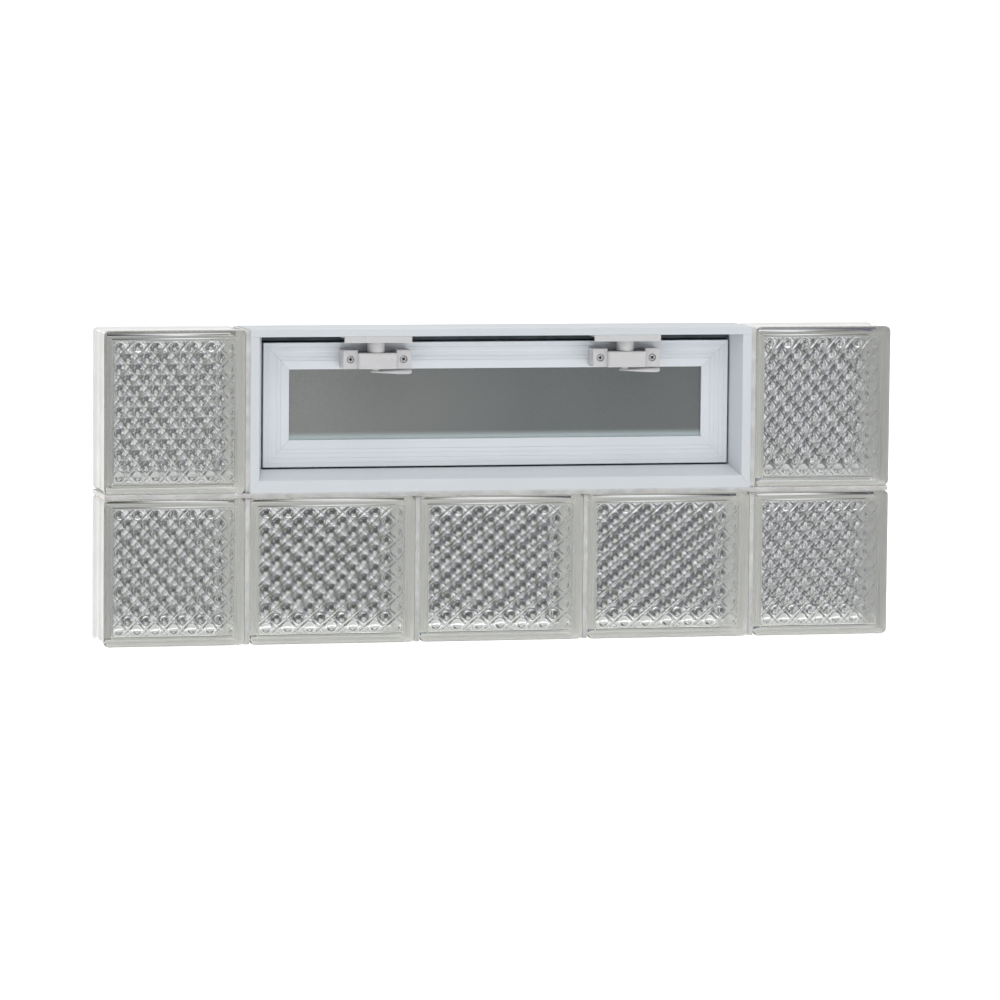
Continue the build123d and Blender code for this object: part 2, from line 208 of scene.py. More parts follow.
# Glass blocks: two pressed halves of clear glass fused round a sealed hollow. The outer
# faces are smooth. Inside, a lattice of ridges with a round lens in each diamond is
# pressed into both panes. The edges carry an off-white coating that mortar bonds to. The
# coating glows faintly with painted light, and is painted paler between the blocks than on
# the panel's outer sides and top.
def welded_piece(name, sheets, materials, weld=1e-7):
    """One smoothly shaded mesh from sheets of points, with equal points joined.

    Each sheet is (points, material number, flip, split). Its points are rows by columns by
    XYZ. Four neighbours make a face, split along one diagonal or the other by a positive or
    negative split, and a face with equal corners loses them. Points are equal in the same
    cell of a grid as wide as the weld, shifted so that round numbers lie inside a cell.
    """
    grid_shift = 0.37
    points = np.concatenate([sheet[0].reshape(-1, 3) for sheet in sheets])
    faces, slots, start = [], [], 0
    for sheet, slot_number, flip, split in sheets:
        rows, columns = sheet.shape[:2]
        index = start + np.arange(rows * columns).reshape(rows, columns)
        start += rows * columns
        a, b, c, d = index[:-1, :-1], index[:-1, 1:], index[1:, 1:], index[1:, :-1]
        if split > 0:
            quads = np.concatenate([np.stack([a, b, c, c], -1), np.stack([a, c, d, d], -1)]).reshape(-1, 4)
        elif split < 0:
            quads = np.concatenate([np.stack([b, c, d, d], -1), np.stack([b, d, a, a], -1)]).reshape(-1, 4)
        else:
            quads = np.stack([a, b, c, d], -1).reshape(-1, 4)
        faces.append(quads[:, ::-1] if flip else quads)
        slots.append(np.full(len(quads), slot_number))
    faces, slots = np.concatenate(faces), np.concatenate(slots)
    keys = np.floor(points / weld + grid_shift).astype(np.int64)
    _, first, inverse = np.unique(keys, axis=0, return_index=True, return_inverse=True)
    points, faces = points[first], inverse.reshape(-1)[faces]
    kept = faces != np.roll(faces, -1, axis=1)
    sizes = kept.sum(1)
    whole = sizes >= 3
    faces, kept, sizes, slots = faces[whole], kept[whole], sizes[whole], slots[whole]
    mesh = bpy.data.meshes.new(name)
    mesh.vertices.add(len(points))
    mesh.vertices.foreach_set("co", points.astype(np.float32).ravel())
    loops = faces[kept]
    mesh.loops.add(len(loops))
    mesh.loops.foreach_set("vertex_index", loops.astype(np.int32))
    mesh.polygons.add(len(sizes))
    mesh.polygons.foreach_set("loop_start", np.concatenate([[0], np.cumsum(sizes)[:-1]]).astype(np.int32))
    mesh.polygons.foreach_set("material_index", slots.astype(np.int32))
    mesh.update(calc_edges=True)
    mesh.validate()
    mesh.polygons.foreach_set("use_smooth", np.ones(len(mesh.polygons), bool))
    for each in materials:
        mesh.materials.append(each)
    piece = bpy.data.objects.new(name, mesh)
    bpy.context.scene.collection.objects.link(piece)
    return piece


def rings(insets, depths, half_width, half_height, radius, corner_steps=5):
    """Rounded rectangles in XZ, one for each inset and Y, as rows of a closed sheet.

    A ring's half sides are the outer ones less its inset, and so is its corner radius,
    which ends at zero.
    """
    corner = np.maximum(radius - insets, 0)[:, None]
    turn = np.linspace(0, pi / 2, corner_steps + 1)
    angles = np.concatenate([turn + quarter * pi / 2 for quarter in range(4)] + [[0]])
    side_x = np.repeat([1, -1, -1, 1], corner_steps + 1)
    side_z = np.repeat([1, 1, -1, -1], corner_steps + 1)
    side_x, side_z = np.append(side_x, 1), np.append(side_z, 1)
    x = side_x * (half_width - insets[:, None] - corner) + corner * np.cos(angles)
    z = side_z * (half_height - insets[:, None] - corner) + corner * np.sin(angles)
    y = np.broadcast_to(depths[:, None], x.shape)
    return np.stack([x, y, z], -1)


block_depth = 0.079375
pane_thickness = 0.008
wall_inset = 0.0075
front_draft, back_draft, foot = 0.0025, 0.0070, 10
relief_fade, back_share = 0.0025, 0.6
flange_width, flange_shoulder, flange_rise = 0.0080, 0.0020, 0.0010
pane_crown, pane_wave = 0.0008, 0.00022
cells = 7
steps_per_cell = 20
ridge_rise, ridge_half, cross_share = 0.0011, 0.0008, 0.75
lens_rise, lens_share, lens_rim = 0.0014, 0.26, 0.85


def object_noise(nodes_in, links_in, scale, detail=3.0, stretch=(1, 1, 1)):
    """Noise over the object's own coordinates, drawn out along an axis by a small stretch."""
    place = nodes_in.new("ShaderNodeTexCoord")
    mapping = nodes_in.new("ShaderNodeMapping")
    mapping.inputs["Scale"].default_value = stretch
    noise = nodes_in.new("ShaderNodeTexNoise")
    noise.inputs["Scale"].default_value = scale
    noise.inputs["Detail"].default_value = detail
    links_in.new(place.outputs["Object"], mapping.inputs["Vector"])
    links_in.new(mapping.outputs["Vector"], noise.inputs["Vector"])
    return noise.outputs["Fac"]


def tinted(nodes_in, links_in, factor, low, high, socket, near=0.35, far=0.65):
    """Drives a colour or roughness socket between two values by a factor."""
    ramp = nodes_in.new("ShaderNodeMapRange")
    ramp.inputs["From Min"].default_value = near
    ramp.inputs["From Max"].default_value = far
    links_in.new(factor, ramp.inputs["Value"])
    if isinstance(low, tuple):
        links_in.new(blended(nodes_in, links_in, ramp.outputs[0], low, high), socket)
    else:
        ramp.inputs["To Min"].default_value = low
        ramp.inputs["To Max"].default_value = high
        links_in.new(ramp.outputs[0], socket)


def grain(nodes_in, links_in, shader, factor, strength, distance):
    """A bump on a shader's normal from a height factor."""
    bump = nodes_in.new("ShaderNodeBump")
    bump.inputs["Strength"].default_value = strength
    bump.inputs["Distance"].default_value = distance
    links_in.new(factor, bump.inputs["Height"])
    links_in.new(bump.outputs["Normal"], shader.inputs["Normal"])


glass, glass_nodes, glass_links, glass_shader = material(
    "pressed_glass",
    Base_Color=(0.960, 0.972, 0.975, 1),
    Roughness=0.015,
    IOR=1.5,
    Transmission_Weight=1.0,
)
glass_ripple = object_noise(glass_nodes, glass_links, 45, 1.0)
grain(glass_nodes, glass_links, glass_shader, glass_ripple, 0.15, 0.0003)
# The coating glows faintly: painted light for the light that reaches it only through the glass.
coating, coating_nodes, coating_links, coating_shader = material(
    "edge_coating",
    Base_Color=(0.84, 0.84, 0.81, 1),
    Roughness=0.5,
    Emission_Color=(0.98, 0.98, 0.92, 1),
    Emission_Strength=0.18,
)
coating_cloud = object_noise(coating_nodes, coating_links, 35)
coating_place = coating_nodes.new("ShaderNodeTexCoord")
coating_axes = coating_nodes.new("ShaderNodeSeparateXYZ")
coating_links.new(coating_place.outputs["Object"], coating_axes.inputs[0])
coating_side = coating_nodes.new("ShaderNodeMath")
coating_side.operation = "ABSOLUTE"
coating_links.new(coating_axes.outputs["X"], coating_side.inputs[0])
# Painted light: the coating between the blocks is painted pale, and where it faces out at the panel's sides
# and top it is painted darker, offsetting the glow where lamps reach it.
coating_light_split = coating_nodes.new("ShaderNodeMix")
coating_light_split.data_type = "RGBA"
coating_light_split.inputs["A"].default_value = (0.92, 0.92, 0.89, 1)
tinted(
    coating_nodes, coating_links, coating_cloud, (0.54, 0.54, 0.54), (0.60, 0.60, 0.60),
    coating_light_split.inputs["B"],
)
outer_side, outer_top = (0.4380, 0.4385), (0.3395, 0.3400)
coating_outer = coating_nodes.new("ShaderNodeMath")
coating_outer.operation = "MAXIMUM"
coating_outer.use_clamp = True
tinted(
    coating_nodes, coating_links, coating_side.outputs[0], 0.0, 1.0, coating_outer.inputs[0],
    *outer_side,
)
tinted(
    coating_nodes, coating_links, coating_axes.outputs["Z"], 0.0, 1.0, coating_outer.inputs[1],
    *outer_top,
)
coating_links.new(coating_outer.outputs[0], coating_light_split.inputs["Factor"])
coating_links.new(coating_light_split.outputs["Result"], coating_shader.inputs["Base Color"])
coating_grit = object_noise(coating_nodes, coating_links, 420)
grain(coating_nodes, coating_links, coating_shader, coating_grit, 0.5, 0.0005)


def pressed_places(half):
    """Places from -half to half: an even share of a cell apart, with more along both walls."""
    from_wall = np.array([0.00025, 0.0007, 0.0014, 0.0021, 0.0026, 0.0055, 0.0064, 0.0071])
    even = np.linspace(-half, half, cells * steps_per_cell + 1)
    return np.unique(np.round(np.concatenate([even, from_wall - half, half - from_wall]), 8))


def pressed_relief(x, z, half_width, half_height, lean):
    """Height of the pattern inside a pane.

    With u and v counting cells across and up, ridges run where u - lean v is half way
    between whole numbers, as a bell curve over the distance to that line, and lower ones
    cross them where u + lean v is. A lens, the cap of a ball, stands in every diamond.
    """
    cell_width = 2 * half_width / cells
    cell_height = 2 * half_height / cells
    u, v = x / cell_width, z / cell_height
    slant = cell_width * cell_height / np.hypot(cell_width, cell_height)
    ridge = 0
    for way, share in ((lean, 1), (-lean, cross_share)):
        across = u - way * v + 0.5
        ridge = ridge + share * np.exp(-(((across - np.round(across)) * slant / ridge_half) ** 2))
    one, other = u + v, u - v
    one, other = one - np.round(one), other - np.round(other)
    away = np.hypot((one + other) / 2 * cell_width, (one - other) / 2 * cell_height)
    lens_radius = lens_share * min(cell_width, cell_height)
    ball = np.sqrt(1 - lens_rim * np.clip(away / lens_radius, 0, 1) ** 2)
    lens = (ball - np.sqrt(1 - lens_rim)) / (1 - np.sqrt(1 - lens_rim))
    crown = pane_crown * (1 - (x / half_width) ** 2) * (1 - (z / half_height) ** 2)
    wave = pane_wave * (np.sin(2.7 * u + 1.9 * v) + np.sin(1.6 * u - 2.4 * v + 1))
    return ridge_rise * ridge + lens_rise * lens + crown + wave


def pressed_half(half_width, half_height, pane_y, lean, draft):
    """The inside of one half, as a tray from the seam at Y 0 to the pane.

    The distance to the wall is a smooth minimum over both axes. The depth is a smooth
    minimum of one and the distance over the draft: a leaning wall with a round foot.
    """
    x = pressed_places(half_width)
    z = pressed_places(half_height)
    x, z = np.meshgrid(x, z, indexing="ij")
    to_side = np.maximum(half_width - np.abs(x), 1e-9)
    to_end = np.maximum(half_height - np.abs(z), 1e-9)
    to_wall = (to_side**-4 + to_end**-4) ** -0.25
    to_wall = np.where(to_wall < 2e-8, 0, to_wall)
    with np.errstate(divide="ignore"):
        depth = ((to_wall / draft) ** -foot + 1) ** (-1 / foot)
    fade = np.clip((to_wall - draft) / relief_fade, 0, 1)
    fade = fade * fade * (3 - 2 * fade)
    relief = pressed_relief(x, z, half_width, half_height, lean) * fade
    if pane_y > 0:
        relief = relief * back_share
    y = pane_y * depth - np.sign(pane_y) * relief
    return np.stack([x, y, z], -1)


def glass_block(node):
    """A block as large as its node: the outer skin from rings, and two trays for the hollow."""
    low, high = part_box(node)
    half_width, half_height = (high.x - low.x) / 2, (high.z - low.z) / 2
    centre = np.array([(low.x + high.x) / 2, 0, (low.z + high.z) / 2])
    face = block_depth / 2
    round_edge, corner_radius, flat_inset = 0.0022, 0.006, 0.014
    lip, lip_taper, lip_bevel, channel = 0.0100, 0.001, 0.0008, 0.0025
    seam_rise, seam_half = 0.0012, 0.0016
    quarter = np.linspace(0, pi / 2, 7)
    shoulder = np.linspace(0, pi, 7)
    pane_insets = np.concatenate([
        [min(half_width, half_height), flat_inset],
        flange_width + flange_shoulder * (1 - shoulder / pi),
        round_edge * (1 - np.sin(quarter)),
    ])
    pane_depths = np.concatenate([
        [flange_rise - face, flange_rise - face],
        flange_rise * (1 + np.cos(shoulder)) / 2 - face,
        -face + round_edge * (1 - np.cos(quarter)),
    ])
    bead = np.linspace(-pi / 2, 0, 5)
    rim_insets = np.concatenate([
        [0, 0, lip_bevel, channel, channel],
        channel - seam_rise * np.cos(bead),
    ])
    rim_depths = np.concatenate([
        np.array([round_edge, lip - lip_taper, lip, lip + lip_bevel]) - face,
        [-seam_half],
        seam_half * np.sin(bead),
    ])
    sheets = []
    for way in (1, -1):
        flip = way > 0
        pane = rings(pane_insets, way * pane_depths, half_width, half_height, corner_radius)
        rim = rings(rim_insets, way * rim_depths, half_width, half_height, corner_radius)
        tray = pressed_half(
            half_width - wall_inset,
            half_height - wall_inset,
            -way * (face - pane_thickness),
            way,
            front_draft if way > 0 else back_draft,
        )
        sheets += [(pane, 0, flip, 0), (rim, 1, flip, 0), (tray, 0, not flip, way)]
    for sheet, _, _, _ in sheets:
        sheet += centre
    block = welded_piece(node.replace("glass_block", "pressed_block"), sheets, [glass, coating])
    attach(block, "window")
    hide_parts(node)


for block_node in sorted(name for name in nodes if name.startswith("glass_block")):
    glass_block(block_node)

# Silicone joints: white silicone run into the gaps between blocks and vent. A finger has
# drawn it hollow on both faces, so its depth wanders a little along the joint.
silicone, silicone_nodes, silicone_links, silicone_shader = material(
    "cured_silicone",
    Base_Color=(0.56, 0.56, 0.56, 1),
    Roughness=0.34,
    Subsurface_Weight=0.3,
    Subsurface_Scale=0.003,
)
silicone_cloud = object_noise(silicone_nodes, silicone_links, 70)
tinted(
    silicone_nodes, silicone_links, silicone_cloud, (0.50, 0.50, 0.50), (0.61, 0.61, 0.60),
    silicone_shader.inputs["Base Color"],
)
silicone_ripple = object_noise(silicone_nodes, silicone_links, 260)
grain(silicone_nodes, silicone_links, silicone_shader, silicone_ripple, 0.3, 0.0004)


def tooled_joint(node, hollow=0.0012, sway=0.0003, steps=8, spacing=0.004):
    """A strip of silicone as large as its node, hollow on both faces.

    Across a face, its depth is the hollow times one minus the squared share of the half
    width, plus a sway of two sines along the strip. Both ends close on the middle line.
    """
    low, high = (np.array(corner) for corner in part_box(node))
    along, over = (2, 0) if high[2] - low[2] > high[0] - low[0] else (0, 2)
    count = int((high[along] - low[along]) / spacing) + 2
    run = np.linspace(low[along], high[along], count)[:, None]
    share = np.linspace(-1, 1, steps + 1)
    across = np.concatenate([share, share[::-1], share[:1]])
    side = np.repeat([-1, 1, -1], [steps + 1, steps + 1, 1])
    middle, half = (low + high) / 2, (high - low) / 2
    waves = ((310, 900), (137, 400))
    wave = sum(np.sin(run * rate + low[over] * shift) for rate, shift in waves)
    dip = (hollow + sway * wave) * (1 - across**2)
    strip = np.empty((count, len(across), 3))
    strip[:, :, along] = run
    strip[:, :, over] = middle[over] + half[over] * across
    strip[:, :, 1] = middle[1] + side * (half[1] - np.maximum(dip, 0))
    core = np.array(strip[[0, -1]])
    core[:, :, over] = middle[over]
    core[:, :, 1] = middle[1]
    closed = np.concatenate([core[:1], strip, core[1:]])
    joint = welded_piece(node.replace("joint", "silicone"), [(closed, 0, along == 0, 0)], [silicone])
    faces_out = np.abs(np.array([face.normal.y for face in joint.data.polygons])) > 0.5
    joint.data.polygons.foreach_set("use_smooth", faces_out)
    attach(joint, "window")
    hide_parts(node)


for joint_node in sorted(name for name in nodes if "joint" in name):
    tooled_joint(joint_node)

# Vent frame: a four-sided frame of extruded white vinyl with a deep reveal that leans in
# towards the sash. Jambs and sill are mitred and welded, and the head caps the jambs.
def vinyl_paint(name, stretch, tone):
    """White vinyl of a tone, with faint lines along the way the bar was drawn, and slightly cloudy."""
    paint, inside, links_in, shader = material(
        name, Base_Color=(0.74, 0.77, 0.80, 1), Roughness=0.3, IOR=1.46
    )
    cloud = object_noise(inside, links_in, 9)
    low = tuple(tone * value for value in (0.70, 0.735, 0.775))
    high = tuple(tone * value for value in (0.72, 0.755, 0.795))
    tinted(inside, links_in, cloud, low, high, shader.inputs["Base Color"])
    tinted(inside, links_in, object_noise(inside, links_in, 60), 0.30, 0.36, shader.inputs["Roughness"])
    grain(inside, links_in, shader, object_noise(inside, links_in, 900, 2.0, stretch), 0.12, 0.0002)
    return paint


# The frame's vinyl is painted a darker white than the sash's: painted shade that offsets the extra light on
# the frame's front faces beside the recessed sash.
vinyl_paints = {
    (part, upright): vinyl_paint(f"{part}_vinyl_{word}", stretch, tone)
    for part, tone in (("frame", 0.82), ("sash", 0.96))
    for upright, word, stretch in ((False, "level", (0.01, 1, 1)), (True, "upright", (1, 1, 0.01)))
}


def rounded_section(section, size, steps=4):
    """A closed section with its corners rounded by quadratic curves.

    A row is n, Y, and the places where the bar starts and stops there. A corner P with
    neighbours A and B becomes (1-t)^2 a + 2t(1-t) P + t^2 b, with a and b on the sides at
    the given size from P, and one more point lies beyond each of them.
    """
    rows = []
    t = np.linspace(0, 1, steps + 1)[:, None]
    for before, corner, after in zip(np.roll(section, 1, 0), section, np.roll(section, -1, 0)):
        spans = [np.hypot(*(other - corner)[:2]) for other in (before, after)]
        if min(spans) < 1e-9:
            rows.append(corner[None])
            continue
        reach = min(size, 0.3 * min(spans))
        a = corner + (before - corner) * reach / spans[0]
        b = corner + (after - corner) * reach / spans[1]
        rows.append((corner + (before - corner) * 1.5 * reach / spans[0])[None])
        rows.append((1 - t) ** 2 * a + 2 * t * (1 - t) * corner + t**2 * b)
        rows.append((corner + (after - corner) * 1.5 * reach / spans[1])[None])
    return np.concatenate(rows)


bar_edge = 0.0006


def vinyl_bar(node, section, middle, inward, along):
    """A bar for a node: its rounded section carried between the places given in its rows.

    A point is middle + n inward + Y + place along. Both ends are closed by one flat face.
    """
    rows = rounded_section(np.array(section, float), bar_edge)
    middle, inward, along = (np.array(v, float) for v in (middle, inward, along))
    ends = [
        middle + rows[:, :1] * inward + rows[:, 1:2] * np.array([0, 1, 0]) + rows[:, [place]] * along
        for place in (2, 3)
    ]
    count = len(rows)
    index = np.arange(count)
    after = np.roll(index, -1)
    sides = np.stack([index, after, after + count, index + count], -1)
    caps = [index[::-1] + 2 * count, index + 3 * count]
    turn = np.dot(np.cross(inward, (0, 1, 0)), along)
    area = np.sum(rows[:, 0] * np.roll(rows[:, 1], -1) - np.roll(rows[:, 0], -1) * rows[:, 1])
    faces = [list(face) for face in sides] + [list(cap) for cap in caps]
    if area * turn < 0:
        faces = [face[::-1] for face in faces]
    mesh = bpy.data.meshes.new(node)
    mesh.from_pydata(np.concatenate(ends + ends).tolist(), [], [[int(i) for i in face] for face in faces])
    mesh.polygons.foreach_set("use_smooth", [True] * count + [False, False])
    mesh.materials.append(vinyl_paints["frame" if node.startswith("frame") else "sash", abs(along[2]) > 0.5])
    bar = bpy.data.objects.new("vinyl_" + node, mesh)
    bpy.context.scene.collection.objects.link(bar)
    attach(bar, "window")
    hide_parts(node)


vent_low, vent_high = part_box("frame_sill")[0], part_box("frame_head")[1]
vent_half = vent_high.x
room_face, outer_face = vent_low.y, vent_high.y
sash_face, stop_face, stop_back = room_face + 0.0280, room_face + 0.0537, room_face + 0.0591
sill_share, mitre_gap = 1.34, 0.0001
jamb_lip, jamb_reveal, jamb_stop, jamb_back = 0.0100, 0.0175, 0.0265, 0.0120
jamb_line = [
    (0, room_face), (jamb_lip, room_face), (jamb_reveal, sash_face), (jamb_reveal, stop_face),
    (jamb_stop, stop_face), (jamb_stop, stop_back), (jamb_back, stop_back), (jamb_back, stop_back),
    (jamb_back, outer_face), (0, outer_face),
]
head_lip, head_recess, head_stop = 0.0080, 0.0140, 0.0230
recess_face, head_back = sash_face + 0.0060, stop_back + 0.0002
head_line = [
    (0, room_face), (head_lip, room_face), (head_lip, recess_face), (head_recess, recess_face),
    (head_recess, stop_face), (head_stop, stop_face), (head_stop, head_back), (head_lip, head_back),
    (head_lip, outer_face), (0, outer_face),
]
head_rows = [(n, y, -vent_half, vent_half) for n, y in head_line]
vinyl_bar("frame_head", head_rows, (0, 0, vent_high.z), (0, 0, -1), (1, 0, 0))
sill_rows = [(sill_share * n, y, n - vent_half + mitre_gap, vent_half - n - mitre_gap) for n, y in jamb_line]
vinyl_bar("frame_sill", sill_rows, (0, 0, vent_low.z), (0, 0, 1), (1, 0, 0))
under_head = [head_lip] * 4 + [head_stop] * 3 + [head_lip] * 3
for side, way in (("left", 1), ("right", -1)):
    jamb_rows = [
        (n, y, vent_low.z + sill_share * n + mitre_gap, vent_high.z - top)
        for (n, y), top in zip(jamb_line, under_head)
    ]
    vinyl_bar(f"frame_jamb_{side}", jamb_rows, (-way * vent_half, 0, 0), (way, 0, 0), (0, 0, 1))

# Sash: four mitred vinyl bars, stepped in bands towards the glass, with a sloping bead
# snapped in all round to hold the double glazing.
sash_low, sash_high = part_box("sash_bottom_rail")[0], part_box("sash_top_rail")[1]
sash_centre = (sash_low.z + sash_high.z) / 2
sash_back = sash_face + 0.0247
sash_step, sash_bead, sash_width = 0.0098, 0.0196, 0.0294
step_face, glass_bed, bead_back = sash_face + 0.0015, sash_back - 0.0037, sash_face + 0.0065
sash_line = [
    (0, sash_face), (0.0046, sash_face), (0.0049, sash_face + 0.0004), (0.0052, sash_face),
    (sash_step, sash_face), (sash_step, step_face), (0.0150, step_face),
    (0.0153, sash_face + 0.0019), (0.0156, step_face), (sash_bead, step_face),
    (sash_bead, glass_bed), (sash_width, glass_bed), (sash_width, sash_back), (0, sash_back),
]
bead_line = [
    (sash_bead, step_face), (sash_width, sash_face + 0.0035), (sash_width, bead_back),
    (sash_bead, bead_back),
]
half_x, half_z = sash_high.x, sash_high.z - sash_centre
sash_sides = (
    ((0, 0, sash_high.z), (0, 0, -1), (1, 0, 0), half_x),
    ((0, 0, sash_low.z), (0, 0, 1), (1, 0, 0), half_x),
    ((-half_x, 0, sash_centre), (1, 0, 0), (0, 0, 1), half_z),
    ((half_x, 0, sash_centre), (-1, 0, 0), (0, 0, 1), half_z),
)
for line, names in (
    (sash_line, ("sash_top_rail", "sash_bottom_rail", "sash_stile_left", "sash_stile_right")),
    (bead_line, ("glazing_bead_top", "glazing_bead_bottom", "glazing_bead_left", "glazing_bead_right")),
):
    for bar_node, (middle, inward, along, half) in zip(names, sash_sides):
        bar_rows = [(n, y, n - half + mitre_gap, half - n - mitre_gap) for n, y in line]
        vinyl_bar(bar_node, bar_rows, middle, inward, along)

# Seals and pivots: black rubber weatherstrip round the sash and under the head, and pale
# nylon pins in the stiles. The black strip under the head is partly a seal and partly a dark
# strip standing in for the deep shade of the slot above the sash.
rubber, rubber_nodes, rubber_links, rubber_shader = material(
    "black_rubber", Base_Color=(0.02, 0.03, 0.036, 1), Roughness=0.6
)
rubber_cloud = object_noise(rubber_nodes, rubber_links, 40)
tinted(
    rubber_nodes, rubber_links, rubber_cloud, (0.015, 0.024, 0.030), (0.040, 0.055, 0.065),
    rubber_shader.inputs["Base Color"],
)
grain(rubber_nodes, rubber_links, rubber_shader, object_noise(rubber_nodes, rubber_links, 700), 0.4, 0.0003)
nylon, nylon_nodes, nylon_links, nylon_shader = material(
    "pale_nylon", Base_Color=(0.70, 0.69, 0.65, 1), Roughness=0.4, Subsurface_Weight=0.1
)
nylon_cloud = object_noise(nylon_nodes, nylon_links, 120)
tinted(
    nylon_nodes, nylon_links, nylon_cloud, (0.66, 0.65, 0.61), (0.74, 0.73, 0.70),
    nylon_shader.inputs["Base Color"],
)
grain(nylon_nodes, nylon_links, nylon_shader, nylon_cloud, 0.15, 0.0003)


def coloured(names, paint):
    """Gives the solids of these names one material."""
    for name in names:
        nodes[name].data.materials.clear()
        nodes[name].data.materials.append(paint)


# The black gasket under the head also stands in for shade in the slot above the sash.
coloured(("weatherstrip", "head_gasket"), rubber)
coloured(("sash_pivot_left", "sash_pivot_right"), nylon)

# Double glazing: two sheets of obscure glass with a fine hammered face, and a metal spacer
# between them. The glass is a dull grey with painted light on it: paler at its left side,
# and a painted pale glow along its foot.
obscure, obscure_nodes, obscure_links, obscure_shader = material(
    "obscure_glass",
    Base_Color=(0.30, 0.30, 0.29, 1),
    Roughness=0.28,
    IOR=1.5,
    Transmission_Weight=0.25,
)
pane_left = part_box("inner_pane")[0].x
pane_dim, pane_pale, pane_speck = (0.13, 0.145, 0.15), (0.36, 0.37, 0.36), (0.20, 0.21, 0.205)
pane_place = obscure_nodes.new("ShaderNodeTexCoord")
pane_axes = obscure_nodes.new("ShaderNodeSeparateXYZ")
obscure_links.new(pane_place.outputs["Object"], pane_axes.inputs[0])
# Painted light: the grey fades from pale at the left to dim at the right, and a pale teal glow is painted
# along the foot of the pane.
glass_edge = sash_low.z + sash_width
pane_foot_glow = obscure_nodes.new("ShaderNodeMapRange")
pane_foot_glow.interpolation_type = "SMOOTHSTEP"
pane_foot_glow.inputs["From Min"].default_value = glass_edge + 0.0095
pane_foot_glow.inputs["From Max"].default_value = glass_edge - 0.001
obscure_links.new(pane_axes.outputs["Z"], pane_foot_glow.inputs["Value"])
pane_side_light = obscure_nodes.new("ShaderNodeMapRange")
pane_side_light.inputs["From Min"].default_value = pane_left
pane_side_light.inputs["From Max"].default_value = 0.04
obscure_links.new(pane_axes.outputs["X"], pane_side_light.inputs["Value"])
pane_painted_light_left = blended(obscure_nodes, obscure_links, pane_side_light.outputs[0], pane_pale, pane_dim)
pane_fine = object_noise(obscure_nodes, obscure_links, 900, 1.0)
pane_speckle = blended(obscure_nodes, obscure_links, pane_fine, pane_painted_light_left, pane_speck)
pane_colour = blended(obscure_nodes, obscure_links, pane_foot_glow.outputs[0], pane_speckle, (0.62, 0.73, 0.75))
obscure_links.new(pane_colour, obscure_shader.inputs["Base Color"])
grain(obscure_nodes, obscure_links, obscure_shader, pane_fine, 0.5, 0.0004)
coloured(("inner_pane", "outer_pane"), obscure)
spacer, spacer_nodes, spacer_links, spacer_shader = material(
    "spacer_metal", Base_Color=(0.45, 0.58, 0.58, 1), Metallic=1.0, Roughness=0.4
)
spacer_lines = object_noise(spacer_nodes, spacer_links, 500, 2.0, (0.05, 1, 0.05))
tinted(spacer_nodes, spacer_links, spacer_lines, 0.3, 0.5, spacer_shader.inputs["Roughness"])
grain(spacer_nodes, spacer_links, spacer_shader, spacer_lines, 0.2, 0.0002)
coloured(("glazing_spacer",), spacer)

# Turn latches: moulded white plastic. The keeper is pushed up under the head, the base is
# held by a screw through each ear, and the lever turns on a shaft in the base.
latch_plastic, latch_nodes, latch_links, latch_shader = material(
    "latch_plastic", Base_Color=(0.66, 0.66, 0.66, 1), Roughness=0.3, IOR=1.47
)
latch_cloud = object_noise(latch_nodes, latch_links, 25)
tinted(
    latch_nodes, latch_links, latch_cloud, (0.535, 0.535, 0.545), (0.55, 0.55, 0.555),
    latch_shader.inputs["Base Color"],
)
tinted(latch_nodes, latch_links, latch_cloud, 0.26, 0.36, latch_shader.inputs["Roughness"])
latch_edge = latch_nodes.new("ShaderNodeBevel")
latch_edge.samples = 4
latch_edge.inputs["Radius"].default_value = 0.0006
latch_grain = latch_nodes.new("ShaderNodeBump")
latch_grain.inputs["Strength"].default_value = 0.1
latch_grain.inputs["Distance"].default_value = 0.0002
latch_links.new(object_noise(latch_nodes, latch_links, 1400), latch_grain.inputs["Height"])
latch_links.new(latch_edge.outputs["Normal"], latch_grain.inputs["Normal"])
latch_links.new(latch_grain.outputs["Normal"], latch_shader.inputs["Normal"])
coloured([name for name in nodes if name.startswith(("latch_base", "latch_keeper"))], latch_plastic)


def lofted(x, half_y, half_z, middle_y, middle_z, squareness, columns=33):
    """A closed form along X, whose sections are superellipses with the given half sizes and middles."""
    angle = np.linspace(0, 2 * pi, columns)
    round_y = np.sign(np.cos(angle)) * np.abs(np.cos(angle)) ** (2 / squareness)
    round_z = np.sign(np.sin(angle)) * np.abs(np.sin(angle)) ** (2 / squareness)
    y = middle_y + half_y[:, None] * round_y
    z = middle_z[:, None] + half_z[:, None] * round_z
    return np.stack([np.broadcast_to(x[:, None], y.shape), y, z], -1)


def turned(profile, centre_x, centre_y, columns=49):
    """A form turned about an upright axis from rows of radius and Z."""
    angle = np.linspace(0, 2 * pi, columns)
    radius, z = np.array(profile).T[:, :, None]
    x, y = centre_x + radius * np.cos(angle), centre_y + radius * np.sin(angle)
    return np.stack([x, y, z + 0 * angle], -1)


latch_depth, shaft_set_back = 0.0270, 0.0117
leaf_gap, leaf_heel, leaf_length, leaf_tip = 0.0010, 0.006, 0.036, 0.004
leaf_places = (-0.006, 0.004, 0.014, 0.026, 0.036)
leaf_thicknesses = (0.0016, 0.0024, 0.0038, 0.0052, 0.0054)
shaft_radius, shaft_overlap = 0.0040, 0.0022
drum_radius, drum_height, drum_edge = 0.00975, 0.0154, 0.0006
lobe_reach, lobe_half_width, lobe_half_height, lobe_tip_share = 0.0155, 0.0035, 0.0020, 0.04
leaf_squareness, lobe_squareness = 3.0, 8.0


